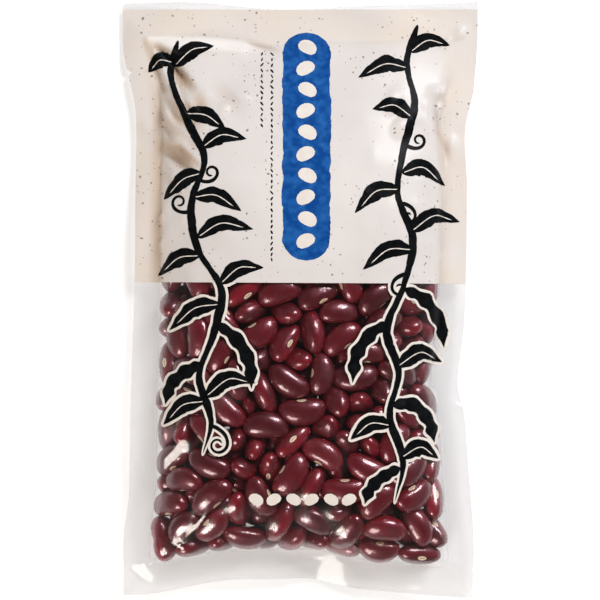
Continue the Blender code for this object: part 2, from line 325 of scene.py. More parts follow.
class Levels:
    """A height over the plan of the bag, with its slopes, read anywhere."""

    STEP, STEEPEST = 0.001, 3.0
    REACH = (0.070, 0.115)
    SHORT_OF_END = 1.001

    def __init__(self, heights_at):
        self.x, self.y = (np.arange(-reach, reach + self.STEP / 2, self.STEP) for reach in self.REACH)
        heights = np.round(heights_at(*np.meshgrid(self.x, self.y, indexing="ij")), 6)
        slopes = np.gradient(heights, self.STEP)
        self.maps = [heights] + [np.clip(slope, -self.STEEPEST, self.STEEPEST) for slope in slopes]

    def read(self, x, y):
        """The height and the two slopes at each point."""
        u = np.clip((x - self.x[0]) / self.STEP, 0, len(self.x) - self.SHORT_OF_END)
        v = np.clip((y - self.y[0]) / self.STEP, 0, len(self.y) - self.SHORT_OF_END)
        i, j = u.astype(int), v.astype(int)
        u, v = u - i, v - j
        return [
            (m[i, j] * (1 - u) + m[i + 1, j] * u) * (1 - v)
            + (m[i, j + 1] * (1 - u) + m[i + 1, j + 1] * u) * v
            for m in self.maps
        ]


def bean_balls():
    """Balls that fill one bean: their places in the bean, and their radius."""
    radius = BEAN_THICKNESS / 2
    end, half = BEAN_LENGTH / 2 - radius, BEAN_WIDTH / 2 - radius
    balls = [
        (-end, -BALL_BACK), (end, -BALL_BACK), (-end / 2, BALL_OUT * half), (end / 2, BALL_OUT * half),
        (0, BALL_BULGE * half), (0, -BALL_OUT * half),
        (-end / 2, -BALL_OUT * half), (end / 2, -BALL_OUT * half),
    ]
    places = np.array([(x, y, 0.0) for x, y in balls])
    return places - places.mean(0), radius


def turned(turns):
    """Rotation matrices from rows of (w, x, y, z)."""
    w, x, y, z = turns.T
    rows = [
        1 - 2 * (y * y + z * z), 2 * (x * y - w * z), 2 * (x * z + w * y),
        2 * (x * y + w * z), 1 - 2 * (x * x + z * z), 2 * (y * z - w * x),
        2 * (x * z - w * y), 2 * (y * z + w * x), 1 - 2 * (x * x + y * y),
    ]
    return np.stack(rows, -1).reshape(-1, 3, 3)


def turned_further(turns, by):
    """The turns after a small further rotation vector each."""
    w, x, y, z = turns.T
    a, b, c = by.T / 2
    rows = (
        w - a * x - b * y - c * z, x + a * w + b * z - c * y,
        y + b * w + c * x - a * z, z + c * w + a * y - b * x,
    )
    made = np.stack(rows, -1)
    return made / np.sqrt((made**2).sum(1))[:, None]


def poured_beans(back, front):
    """Random first places, turns and sizes of the beans in the bag."""
    draw = random.Random(SEED)
    places, turns, sizes = [], [], []
    while len(places) < BEAN_COUNT:
        x = draw.uniform(-POURED_ASIDE, POURED_ASIDE)
        y = draw.uniform(POURED_FROM, FILL_TOP - BEAN_THICKNESS / 2)
        low, high = (float(level.read(np.array([x]), np.array([y]))[0][0]) for level in (back, front))
        if high - low < LEAST_ROOM:
            continue
        turn = Quaternion([draw.gauss(0, 1) for _ in range(4)]).normalized()
        places.append((x, y, draw.uniform(low + POURED_MARGIN, high - POURED_MARGIN)))
        turns.append(tuple(turn))
        sizes.append(draw.uniform(*BEAN_SIZES))
    return np.round(np.array(places), 6), np.round(np.array(turns), 6), np.array(sizes)


def laid_flat(places, matrices, back, front):
    """A small turn for each bean that touches the film, which lays its broad side against it."""
    x, y, z = places.T
    thin = matrices[:, :, 2]
    turns = np.zeros_like(places)
    for level, up in ((front, 1), (back, -1)):
        height, slope_x, slope_y = level.read(x, y)
        facing = np.stack([-slope_x, -slope_y, np.ones_like(x)], -1)
        facing /= np.sqrt((facing**2).sum(1))[:, None]
        near = np.clip(1 - up * (height - z) / BEAN_WIDTH, 0, 1)
        same_way = np.sign((thin * facing).sum(1))
        turns += np.cross(thin, facing) * (FLATTEN * near * same_way)[:, None]
    return turns


def drawn_out(places):
    """A small move for the beans by the side and bottom seals, which the taut film draws into the corner."""
    x, y, _ = places.T
    left, right = through(LEFT_EDGE, y) + SIDE_SEAL, through(RIGHT_EDGE, y) - SIDE_SEAL
    bottom = through(BOTTOM_EDGE, x) + BOTTOM_SEAL
    moves = np.zeros_like(places)
    moves[:, 0] += DRAW_OUT * ((x > right - DRAWN_WITHIN).astype(float) - (x < left + DRAWN_WITHIN))
    moves[:, 1] -= DRAW_OUT * (y < bottom + DRAWN_WITHIN)
    moves[:, 2] -= DRAW_DOWN
    return moves


def pushed_apart(points, size, one, other):
    """How the balls of each two near beans push where they overlap, and how many others each ball touches."""
    count, each = points.shape[:2]
    balls = count * each
    away = points[one][:, :, None] - points[other][:, None]
    gap = np.sqrt((away**2).sum(-1)) + TINY
    overlap = (size[one] + size[other])[:, None, None] - gap
    pair, a, b = hit = np.nonzero(overlap > 0)
    away = away[hit] / gap[hit][:, None] * (overlap[hit] / 2)[:, None]
    first, second = one[pair] * each + a, other[pair] * each + b
    push = np.zeros_like(points)
    for axis in range(3):
        total = np.bincount(first, away[:, axis], balls) - np.bincount(second, away[:, axis], balls)
        push[..., axis] += total.reshape(count, each)
    touching = np.bincount(np.concatenate([first, second]), minlength=balls).reshape(count, each)
    return push, touching


def pushed_in(points, size, back, front, push, touching):
    """Adds how the film and the seals push the balls that would go past them."""
    x, y, z = points[..., 0], points[..., 1], points[..., 2]
    reach = size[:, None]
    for level, up in ((front, 1), (back, -1)):
        height, slope_x, slope_y = level.read(x, y)
        steep = np.sqrt(1 + slope_x**2 + slope_y**2)
        deep = np.maximum(up * (z - height) / steep + reach, 0)
        push += np.stack([slope_x, slope_y, -np.ones_like(x)], -1) * (up * deep / steep)[..., None]
        touching += deep > 0
    walls = (
        (0, 1, through(LEFT_EDGE, y) + SIDE_SEAL + CLEAR_OF_SEAL + reach - x),
        (0, -1, x + reach - through(RIGHT_EDGE, y) + SIDE_SEAL + CLEAR_OF_SEAL),
        (1, 1, through(BOTTOM_EDGE, x) + BOTTOM_SEAL + CLEAR_OF_SEAL + reach - y),
        (1, -FILL_TOP_PUSH, y + reach - FILL_TOP),
    )
    for axis, way, deep in walls:
        push[..., axis] += way * np.maximum(deep, 0)
        touching += deep > 0


def shortened(vectors, longest):
    """The vectors, with the long ones cut to the longest that is let through."""
    lengths = np.sqrt((vectors**2).sum(1))
    return vectors * np.minimum(1, longest / np.maximum(lengths, TINY))[:, None]


def settled_beans():
    """Places, turns and sizes of the beans once they have grown from seeds and pushed each other to rest."""
    back = Levels(lambda x, y: pillow(x, y)[0] + LAID_AT)
    front = Levels(lambda x, y: pillow(x, y)[1] + FRONT_SLACK * np.clip(inside(x, y)[0] / SIDE_SEAL, 0, 1))
    places, turns, sizes = poured_beans(back, front)
    balls, radius = bean_balls()
    x2, y2, z2 = (balls**2).sum(0)
    stiffness = np.array([y2 + z2, x2 + z2, x2 + y2]) + len(balls) * (BALL_ROLL * radius) ** 2
    for step in range(SETTLE_STEPS):
        grown = sizes * min(1.0, SEED_SIZE + GROWTH * step / SETTLE_STEPS)
        matrices = turned(turns)
        arms = (matrices[:, None] * (balls[None] * grown[:, None, None])[:, :, None]).sum(-1)
        points = places[:, None] + arms
        if step % PAIRS_EVERY == 0:
            apart = ((places[:, None] - places[None]) ** 2).sum(-1)
            one, other = np.nonzero(np.triu(apart < PAIR_REACH**2, 1))
        push, touching = pushed_apart(points, radius * grown, one, other)
        pushed_in(points, radius * grown, back, front, push, touching)
        move = push.sum(1) / np.maximum((touching > 0).sum(1), 1)[:, None]
        torque = np.cross(arms, push).sum(1)
        spin = (matrices * torque[:, :, None]).sum(1) / stiffness / (grown * grown)[:, None]
        spin = (matrices * spin[:, None, :]).sum(-1) + laid_flat(places, matrices, back, front)
        places = places + MOVE_SHARE * shortened(move, LONGEST_MOVE) + drawn_out(places)
        turns = turned_further(turns, SPIN_SHARE * shortened(spin, LONGEST_SPIN))
    return places, turns, sizes


# The beans themselves


def bean_template():
    """One kidney bean, whose points keep their place in the bean for its markings."""
    shape = bmesh.new()
    bmesh.ops.create_cube(shape, size=2.0)
    bmesh.ops.subdivide_edges(shape, edges=shape.edges[:], cuts=2, use_grid_fill=True)
    for vert in shape.verts:
        round_by = sum(abs(c) ** BEAN_SQUARENESS for c in vert.co) ** (1 / BEAN_SQUARENESS)
        vert.co = vert.co / round_by
    cage = placed("bean_cage", as_mesh("bean_cage", shape))
    smooth = cage.modifiers.new("smooth", "SUBSURF")
    smooth.levels = smooth.render_levels = 1
    shape = bmesh.new()
    shape.from_object(cage, bpy.context.evaluated_depsgraph_get())
    bpy.data.objects.remove(cage)
    largest = Vector([max(v.co[axis] for v in shape.verts) for axis in range(3)])
    place = shape.verts.layers.float_vector.new("bean_place")
    for vert in shape.verts:
        x, y, z = (vert.co[axis] / largest[axis] for axis in range(3))
        bent = BEAN_WIDTH / 2 * y * (1 - BEAN_TAPER * x * x) - BEAN_BEND * (x * x - BEND_MIDDLE)
        if y < 0:
            near_scar = math.exp(-((x / SWELLING_LONG) ** 2) - ((z - SCAR_RAISED) / SWELLING_HIGH) ** 2)
            bent += near_scar * SCAR_SWELLING
        vert.co = Vector((BEAN_LENGTH / 2 * x, bent, BEAN_THICKNESS / 2 * z * (1 - BEAN_THINNING * x * x)))
        vert[place] = Vector((x, y, z))
    return shape


def make_beans(material):
    """All the beans as one piece, each with its own shade of red."""
    mesh = as_mesh("bean", bean_template())
    places, turns, sizes = settled_beans()
    draw = random.Random(SEED + 1)
    shape = bmesh.new()
    shape.verts.layers.float_vector.new("bean_place")
    shade = shape.verts.layers.float.new("bean_shade")
    for place, turn, size in zip(places, turns, sizes, strict=True):
        start = len(shape.verts)
        shape.from_mesh(mesh)
        shape.verts.ensure_lookup_table()
        own = shape.verts[start:]
        long, wide = draw.uniform(*BEAN_LENGTHS), draw.uniform(*BEAN_WIDTHS)
        stretch = Matrix.Diagonal((size * long, size * wide, size, 1.0))
        turned_so = Quaternion(turn).to_matrix().to_4x4()
        if (turned_so[2][2] > 0) != (draw.random() < SCARS_UP):
            turned_so = turned_so @ Matrix.Rotation(math.pi, 4, "Y")
        lying = Matrix.Translation(Vector(place)) @ turned_so @ stretch
        bmesh.ops.transform(shape, matrix=lying, verts=own)
        sunk = max(0.0, LAID_AT - min(vert.co.z for vert in own))
        bmesh.ops.translate(shape, verts=own, vec=(0, 0, sunk))
        own_shade = draw.random()
        for vert in own:
            vert[shade] = own_shade
    return piece("beans", shape, material)


def piece(name, shape, material):
    """Turns a finished bmesh into a piece of the bag."""
    mesh = as_mesh(name, shape)
    mesh.materials.append(material)
    mesh.shade_smooth()
    mesh.set_sharp_from_angle(angle=SHARP_ANGLE)
    made = placed(name, mesh)
    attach(made, "root")
    return made


# The film


def shares(cells, low_cells, high_cells):
    """Where the grid lines lie: 0 to 1 between the seals, closer by them, and past that over the rims."""
    widths = np.ones(cells)
    widths[: len(FINE_CELLS)], widths[-len(FINE_CELLS):] = FINE_CELLS, FINE_CELLS[::-1]
    between_seals = np.concatenate([[0], np.cumsum(widths) / widths.sum()])
    low, high = np.arange(-low_cells, 0) / low_cells, 1 + np.arange(1, high_cells + 1) / high_cells
    return np.concatenate([low, between_seals, high])


def spread(share, low, high, low_seal, high_seal):
    """Where a share lies between two edges: 0 to 1 between their seals, and past that over the rims."""
    seal_low, seal_high = low + low_seal, high - high_seal
    middle = seal_low + share * (seal_high - seal_low)
    past = seal_high + (share - 1) * high_seal
    return np.where(share < 0, seal_low + share * low_seal, np.where(share > 1, past, middle))


def plan_grid(middle_shift):
    """The film's grid points seen from above, with the tear notch in the left rim."""
    columns, rows = shares(COLUMNS, SIDE_CELLS, SIDE_CELLS), shares(ROWS, BOTTOM_CELLS, TOP_CELLS)
    column, row = np.meshgrid(columns, rows, indexing="ij")
    guess = (np.clip(row, 0, 1) - 0.5) * (LENGTH - BOTTOM_SEAL - TOP_SEAL)
    x = spread(column, through(LEFT_EDGE, guess), through(RIGHT_EDGE, guess), SIDE_SEAL, SIDE_SEAL)
    y = spread(row, through(BOTTOM_EDGE, x), through(TOP_EDGE, x), BOTTOM_SEAL, TOP_SEAL)
    notch_row = np.argmin(np.abs(y[0] - NOTCH_Y))
    x[: SIDE_CELLS + 1, notch_row] += NOTCH_DEPTH * np.linspace(1, 0, SIDE_CELLS + 1)
    return x + middle_shift[0], y + middle_shift[1]


def bean_heights(tree, x, y, down):
    """The beans' highest or lowest surface at each grid point, or a height out of reach where none is."""
    start, way, none = (RAY_ABOVE, -1, -OUT_OF_REACH) if down else (RAY_BELOW, 1, OUT_OF_REACH)
    found = np.full(x.shape, none)
    for index in np.ndindex(x.shape):
        place = tree.ray_cast(Vector((x[index], y[index], start)), Vector((0, 0, way)))[0]
        if place is not None:
            found[index] = place.z
    return found


def folded(x, y, folds):
    """How deep the folds are at each point: a groove or a ridge along each line, lower towards its ends."""
    depth = np.zeros_like(x)
    for start_x, start_y, end_x, end_y, deepest, width in folds:
        along_x, along_y = end_x - start_x, end_y - start_y
        along = ((x - start_x) * along_x + (y - start_y) * along_y) / (along_x**2 + along_y**2)
        along = np.clip(along, 0, 1)
        away = np.hypot(x - start_x - along * along_x, y - start_y - along * along_y) / width
        depth += deepest * np.exp(-away * away) * np.sin(math.pi * (FOLD_START + FOLD_SPAN * along))
    return depth


def wrinkles(x, y):
    """How deep the small wrinkles are at each point: ripples that run the way of the folds beside them."""
    amount = np.clip(folded(x, y, WRINKLED) / WRINKLE_FULL, 0, 1)
    along = (x * math.cos(WRINKLE_TURN) + y * math.sin(WRINKLE_TURN)) / WRINKLE_LENGTH
    across = (y * math.cos(WRINKLE_TURN) - x * math.sin(WRINKLE_TURN)) / WRINKLE_WIDTH
    for index in zip(*np.nonzero(amount), strict=True):
        amount[index] *= WRINKLE_HEIGHT * noise.noise(Vector((along[index], across[index], 0)))
    return amount


def stretched(heights, limit, keep):
    """The heights of a taut skin in its fixed border, held on one side of what it covers, then rounded."""
    heights = heights.copy()
    for step in range(FILM_STEPS + FILM_ROUNDING):
        middle = (heights[:-2, 1:-1] + heights[2:, 1:-1] + heights[1:-1, :-2] + heights[1:-1, 2:]) / 4
        heights[1:-1, 1:-1] = keep(middle, limit[1:-1, 1:-1]) if step < FILM_STEPS else middle
    return heights


def film_levels(x, y, shift, beans):
    """Heights of the film's back and front over its grid: flat rims, and a skin pulled tight on the beans."""
    plan_x, plan_y = x - shift[0], y - shift[1]
    outside = np.clip(-np.minimum.reduce(inside(plan_x, plan_y)) / BUCKLE_START, 0, 1)
    weld = weld_height(plan_x, plan_y) + outside * folded(plan_x, plan_y, RIM_BUCKLES)
    back_start, front_start = pillow(plan_x, plan_y)
    tree = BVHTree.FromObject(beans, bpy.context.evaluated_depsgraph_get())
    front, back = weld + SEAL_THICKNESS / 2, weld - SEAL_THICKNESS / 2
    top = bean_heights(tree, x[WITHIN], y[WITHIN], True) + FILM_CLEARANCE
    under = np.maximum(bean_heights(tree, x[WITHIN], y[WITHIN], False) - FILM_CLEARANCE, 0)
    pulls = (front, front_start, top, np.maximum), (back, back_start, under, np.minimum)
    for level, start, limit, keep in pulls:
        inner = level[WITHIN].copy()
        inner[1:-1, 1:-1] = start[WITHIN][1:-1, 1:-1]
        level[WITHIN] = stretched(inner, limit, keep)
    back[WITHIN] = np.maximum(back[WITHIN], 0)
    lowest = np.maximum(top - FOLD_CLEARANCE, weld[WITHIN] + SEAL_THICKNESS / 2)
    sides = np.clip(inside(plan_x, plan_y)[0] / CLEAR_OF_SEAL, 0, 1)
    depth = (folded(plan_x, plan_y, FOLDS) + wrinkles(plan_x, plan_y)) * sides
    front[WITHIN] = np.maximum(front[WITHIN] - depth[WITHIN], lowest)
    return back, front


def sheet(columns, rows):
    """A flat grid, one unit long and wide, drawn out into a closed layer, and the layer's upper points."""
    shape = bmesh.new()
    bmesh.ops.create_grid(shape, x_segments=columns, y_segments=rows, size=0.5)
    drawn = bmesh.ops.extrude_face_region(shape, geom=list(shape.faces))
    return shape, [made for made in drawn["geom"] if isinstance(made, bmesh.types.BMVert)]


def slab(columns, rows):
    """A closed layer of cells, with points at whole numbers: column, row, and 0 below or 1 above."""
    shape, upper = sheet(columns, rows)
    bmesh.ops.translate(shape, verts=upper, vec=(0, 0, 1))
    for vert in shape.verts:
        vert.co.x, vert.co.y = round((vert.co.x + 0.5) * columns), round((vert.co.y + 0.5) * rows)
    return shape


def laid_over(shape, x, y, back, front):
    """Moves a slab's points to the film's places."""
    for vert in shape.verts:
        index = round(vert.co.x), round(vert.co.y)
        vert.co = Vector((x[index], y[index], (front if vert.co.z > 0.5 else back)[index]))
    bmesh.ops.recalc_face_normals(shape, faces=list(shape.faces))


def make_film(beans, shift, material):
    """The bag's film as one closed wall: the outside with its rim, and the hollow that holds the beans."""
    x, y = plan_grid(shift)
    back, front = film_levels(x, y, shift, beans)
    outside = slab(x.shape[0] - 1, x.shape[1] - 1)
    depth = outside.verts.layers.float.new("in_from_seal")
    crease_painted_shade = outside.verts.layers.float.new("crease_painted_shade")
    for vert in outside.verts:
        vert[depth] = vert.co.z
    laid_over(outside, x, y, back, front)
    hollow = slab(COLUMNS, ROWS)
    laid_over(hollow, x[WITHIN], y[WITHIN], back[WITHIN] + FILM_THICKNESS, front[WITHIN] - FILM_THICKNESS)
    bmesh.ops.reverse_faces(hollow, faces=list(hollow.faces))
    outside.from_mesh(as_mesh("hollow", hollow))
    plan = np.array([vert.co[:2] for vert in outside.verts]) - shift
    # The depth of the grooves and wrinkles on the front, which sets the painted shade in the creases.
    shade_depths = folded(*plan.T, [fold for fold in FOLDS if fold[-2] > 0])
    shade_depths += PAINTED_SHADE_BY_WRINKLED * folded(*plan.T, WRINKLED) + PAINTED_SHADE_BY_WRINKLES * wrinkles(*plan.T)
    for vert, own, shade_depth in zip(outside.verts, np.minimum.reduce(inside(*plan.T)), shade_depths, strict=True):
        front_side = vert[depth] > 0.5
        vert[depth], vert[crease_painted_shade] = (own, shade_depth) if front_side else (FAR_IN, 0.0)
    film = piece("film", outside, material)
    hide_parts("bag")
    return film


# The print: marks laid on the film


def from_photo(place):
    """A place given in pixels of the picture, as seen on the bag."""
    return (place[0] - MIDDLE[0]) * PIXEL, (MIDDLE[1] - place[1]) * PIXEL


def tapered(share, first, first_power, last, last_power):
    """1 along a mark, and less over a share of its length at each end."""
    return np.minimum(1, share / first) ** first_power * np.minimum(1, (1 - share) / last) ** last_power


def swollen(share, waves, how_much):
    """1 where a mark swells, and less between."""
    return 1 - how_much + how_much * np.cos(waves * math.pi * share)


def stem(share):
    """A stem's half width along it: it swells and thins a little, with a point at each end."""
    return tapered(share, *STEM_ENDS) * swollen(share, STEM_SWELLINGS, STEM_SWELLING)


def tendril_form(share):
    return tapered(share, *TENDRIL_ENDS) * (1 - TENDRIL_THINNING * share)


def leaf(share):
    return np.sin(math.pi * np.clip(share, 0, 1) ** LEAF_LEAN) ** LEAF_FULLNESS


def pod(share):
    """A pod's half width: a short neck, a row of swellings over its beans and a beak."""
    return tapered(share, *POD_ENDS) * swollen(share - POD_NECK, POD_SWELLINGS, POD_SWELLING)


def round_ended(share):
    return np.sqrt(np.maximum(1 - (2 * share - 1) ** 2, 0))


def banner_form(share):
    """A long band's half width, its ends rounded over a share of its length."""
    from_end = np.minimum(1, np.minimum(share, 1 - share) / BANNER_END)
    return np.sqrt(np.maximum(1 - (1 - from_end) ** 2, 0))


def rough_edge(places, sides):
    """How rough each mark's edge is there, from -1 to 1: soft waves with small nicks in them."""
    rough = np.zeros(len(places))
    for index, (place, side) in enumerate(zip(places, sides, strict=True)):
        at = Vector((*place, SIDES_APART * side))
        rough[index] = noise.noise(at / MARK_WAVE) + NICKS * noise.noise(at / MARK_NICK)
    return rough


def along_spine(places, at):
    """Points and directions on the smooth curve through places in the picture, at distances along it."""
    spine = np.array([from_photo(place) for place in places])
    travelled = np.concatenate([[0], np.cumsum(np.hypot(*np.diff(spine, axis=0).T))])
    stations = [tuple(zip(travelled, spine[:, axis], strict=True)) for axis in (0, 1)]

    def read(distance):
        return np.stack([through(station, np.clip(distance, 0, travelled[-1])) for station in stations], -1)

    held = np.clip(at, 0, travelled[-1])
    way = read(held + SPINE_STEP) - read(held - SPINE_STEP)
    way /= np.hypot(*way.T)[:, None]
    return read(held) + way * (at - held)[:, None], way


def lay_mark(shape, under, places, half_width, form, wobble=0.0, grow=0.0):
    """One mark of ink: a thin closed layer on what is under it, on a spine through places in the picture."""
    spine = np.array([from_photo(place) for place in places])
    length = np.hypot(*np.diff(spine, axis=0).T).sum()
    along = max(FEWEST_ALONG, math.ceil(length / MARK_CELL))
    across = max(FEWEST_ACROSS, math.ceil(2 * (half_width + grow) / MARK_CELL))
    layer, upper = sheet(along, across)
    upper = set(upper)
    even, aside = (np.array([v.co[axis] for v in layer.verts]) for axis in (0, 1))
    even, aside = even + 0.5, 2 * aside
    share = (even + (1 - np.cos(math.pi * even)) / 2) / 2
    middle, way = along_spine(places, share * (length + 2 * grow) - grow)
    rough = 1 + wobble * rough_edge(middle, np.sign(aside)) if wobble else 1
    side = aside * (half_width * form(share) * rough + grow * round_ended(share) ** OUTLINE_FULLNESS)
    x, y = middle[:, 0] - way[:, 1] * side, middle[:, 1] + way[:, 0] * side
    for vert, *place in zip(layer.verts, x, y, strict=True):
        vert.co = Vector((*place, height_of(under, *place) + (INK_LIFT if vert in upper else -INK_SUNK)))
    bmesh.ops.recalc_face_normals(layer, faces=list(layer.faces))
    for face in layer.faces:
        if all(vert in upper for vert in face.verts):
            lift_clear(face, under)
    mesh = as_mesh("mark", layer)
    shape.from_mesh(mesh)
    bpy.data.meshes.remove(mesh)


def lift_clear(face, under):
    """Raises a face that dips into what is under it."""
    corners = [vert.co.copy() for vert in face.verts]
    sides = [corner.lerp(corners[index - 1], 0.5) for index, corner in enumerate(corners)]
    middle = face.calc_center_median()
    spots = [middle, *sides, *(middle.lerp(corner, 0.5) for corner in corners)]
    short = max(0.0, *(height_of(under, spot.x, spot.y) + INK_LIFT - spot.z for spot in spots))
    for vert in face.verts:
        vert.co.z += short


def height_of(under, x, y):
    """The highest of the layers that lie there."""
    hits = [layer.ray_cast(Vector((x, y, RAY_ABOVE)), Vector((0, 0, -1)))[0] for layer in under]
    return max([hit.z for hit in hits if hit], default=0.0)


def tendril(x, y, heading, way, reach):
    """A thin tendril that leaves the stem and winds up on itself, in pixels of the picture."""
    places, turn = [(x, y)], math.radians(heading)
    for step in range(TENDRIL_STEPS):
        turn += way * (TENDRIL_TURN + TENDRIL_TURN * step)
        x, y = x + reach / TENDRIL_STEPS * math.cos(turn), y + reach / TENDRIL_STEPS * math.sin(turn)
        places.append((x, y))
    return tuple(places)


# Each vine's stalk, leaves, pods and tendrils, in pixels of the picture.
LEFT_VINE = (
    ((178, 40), (171, 75), (187, 120), (205, 160), (192, 205), (199, 250), (222, 290), (214, 335), (200, 375),
     (212, 420), (204, 452)),
    (
        ((174, 66), (192, 50), (214, 46)), ((173, 62), (160, 60), (148, 72)),
        ((186, 114), (206, 116), (226, 130)), ((203, 148), (222, 136), (247, 140)),
        ((202, 174), (184, 180), (164, 200)),
        ((194, 198), (216, 196), (242, 212)), ((198, 238), (222, 224), (254, 230)),
        ((201, 256), (180, 258), (158, 276)), ((221, 284), (240, 268), (264, 268)),
        ((221, 304), (196, 308), (170, 330)), ((206, 396), (230, 378), (256, 382)),
        ((206, 400), (184, 404), (164, 424)),
    ),
    (((217, 322), (238, 340), (250, 362), (252, 388)), ((204, 362), (186, 372), (172, 384), (166, 404))),
    (tendril(198, 180, 25, -1, 50), tendril(193, 212, 165, 1, 52), tendril(212, 424, 20, 1, 66)),
)
RIGHT_VINE = (
    ((418, 24), (407, 62), (414, 105), (403, 150), (397, 195), (412, 240), (403, 285), (386, 330), (398, 372),
     (389, 415), (402, 460), (394, 500)),
    (
        ((410, 52), (428, 40), (450, 45)), ((408, 68), (386, 64), (358, 78)),
        ((412, 118), (394, 106), (372, 110)), ((401, 174), (422, 168), (445, 186)),
        ((399, 190), (376, 192), (354, 214)), ((410, 232), (434, 216), (460, 222)),
        ((412, 250), (388, 250), (362, 270)), ((396, 366), (420, 352), (442, 362)),
        ((390, 424), (370, 422), (350, 438)), ((400, 456), (420, 446), (438, 458)),
    ),
    (
        ((402, 288), (424, 300), (440, 322), (444, 348)), ((390, 322), (370, 334), (356, 354), (352, 382)),
        ((390, 404), (412, 404), (428, 420), (434, 442)), ((400, 466), (384, 474), (370, 486), (364, 502)),
    ),
    (tendril(405, 146, 30, -1, 46), tendril(400, 204, 10, 1, 50), tendril(405, 274, 165, -1, 52)),
)


def vine_marks():
    """Two climbing bean vines: each mark's spine in pixels of the picture, its half width and its form."""
    marks = []
    for stalk, *others in (LEFT_VINE, RIGHT_VINE):
        marks.append((stalk, STEM_HALF, stem))
        forms = (LEAF_HALF, leaf), (POD_HALF, pod), (TENDRIL_HALF, tendril_form)
        for spines, form in zip(others, forms, strict=True):
            marks += [(spine, *form) for spine in spines]
    return marks


def seed_rows(ink, under):
    """Two fine upright rows of little seeds beside the banner."""
    for column, first, last in SEED_ROWS:
        draw, y = random.Random(column), first
        while y < last:
            lean = draw.uniform(-SEED_LEAN, SEED_LEAN)
            spine = ((column - lean, y - SEED_REACH), (column, y), (column + lean, y + SEED_REACH))
            lay_mark(ink, under, spine, draw.uniform(*SEED_HALF), round_ended)
            y += draw.uniform(*SEED_APART)


def part_way(start, end, share):
    return tuple(one * (1 - share) + other * share for one, other in zip(start, end, strict=True))


def pale_beans(light, under):
    """The pale beans in the banner and the row of them below, every other one leaning the other way."""
    for count, first, step, reach, lean, bend, shift, half_width, wobble in BEAN_ROWS:
        for number in range(count):
            x, y = (start + by * number for start, by in zip(first, step, strict=True))
            lean = -lean
            spine = ((x - reach, y + lean), (x - lean * shift, y - bend), (x + reach, y - lean))
            lay_mark(light, under, spine, half_width, round_ended, wobble=wobble)


def make_print(film_piece, black, plain, blue):
    """Everything printed on the front: the vines, pale-edged over the beans, the seed rows and the banner."""
    under = [BVHTree.FromObject(film_piece, bpy.context.evaluated_depsgraph_get())]
    outline, ink, light, banner = bmesh.new(), bmesh.new(), bmesh.new(), bmesh.new()
    for spine, half_width, form in vine_marks():
        if max(y for _, y in spine) > OUTLINE_FROM:
            lay_mark(outline, under, spine, half_width, form, wobble=VINE_WOBBLE, grow=OUTLINE)
    over = [*outline.verts, *outline.edges, *outline.faces]
    at, out = Vector((0, PRINT_BOTTOM, 0)), Vector((-PRINT_TILT, 1, 0))
    bmesh.ops.bisect_plane(outline, geom=over, plane_co=at, plane_no=out, clear_outer=True)
    bmesh.ops.holes_fill(outline, edges=[edge for edge in outline.edges if edge.is_boundary], sides=0)
    under.append(BVHTree.FromBMesh(outline))
    for spine, half_width, form in vine_marks():
        lay_mark(ink, under, spine, half_width, form, wobble=VINE_WOBBLE)
    seed_rows(ink, under)
    lay_mark(banner, under, BANNER, BANNER_HALF, banner_form, wobble=BANNER_WOBBLE)
    under += [BVHTree.FromBMesh(ink), BVHTree.FromBMesh(banner)]
    for spine, _, form in vine_marks():
        if form is leaf:
            first, middle, last = spine
            vein = (part_way(first, middle, VEIN_FROM), middle, part_way(middle, last, VEIN_TO))
            lay_mark(light, under, vein, VEIN_HALF, stem)
    pale_beans(light, under)
    piece("print_black", ink, black)
    piece("print_outline", outline, plain)
    piece("print_light", light, plain)
    piece("print_banner", banner, blue)


# Materials

# Layers of colour over a first one: each shows where all its ranges let it. A range is a source, from low and
# from high, and where they aren't 0 and 1, to low and to high. A noise is its scale, detail and distortion.
SKIN = colour(70, 8, 15), colour(126, 14, 28)
SKIN_LAYERS = (
    (colour(58, 8, 14), ("blotches", 0.42, 0.72, 0.0, 0.5)),
    # Painted shade over the broad faces and painted light on the edges, in a brighter crimson
    (colour(56, 12, 14), ("broad", 0.35, 0.95, 0.0, 0.38)),
    (colour(150, 14, 36), ("broad", 0.55, 0.05, 0.0, 0.35)),
    # The ring of the scar, the pale scar and the slit in it
    (colour(64, 18, 15), ("inner side",), ("from scar", 1.45, 1.20)),
    (colour(252, 232, 204), ("inner side",), ("from scar", 1.02, 0.86)),
    (colour(208, 142, 90), ("inner side",), ("up", 0.30, 0.12), ("across", 0.70, 0.50)),
)
BLOTCH_NOISE, FINE_NOISE, DENT_NOISE = (260.0, 3.0), (900.0, 2.0), (330.0, 1.0)
FINE_BUMP, DENT_BUMP = (0.12, 0.0002), (0.35, 0.0005)
SKIN_ROUGHNESS = 0.3, 0.7, 0.36, 0.46
SKIN_FINISH = {
    "Specular IOR Level": 1.0, "Specular Tint": (1.0, 0.36, 0.46, 1.0),
    "Coat Weight": 0.9, "Coat IOR": 1.65, "Coat Roughness": 0.15,
}

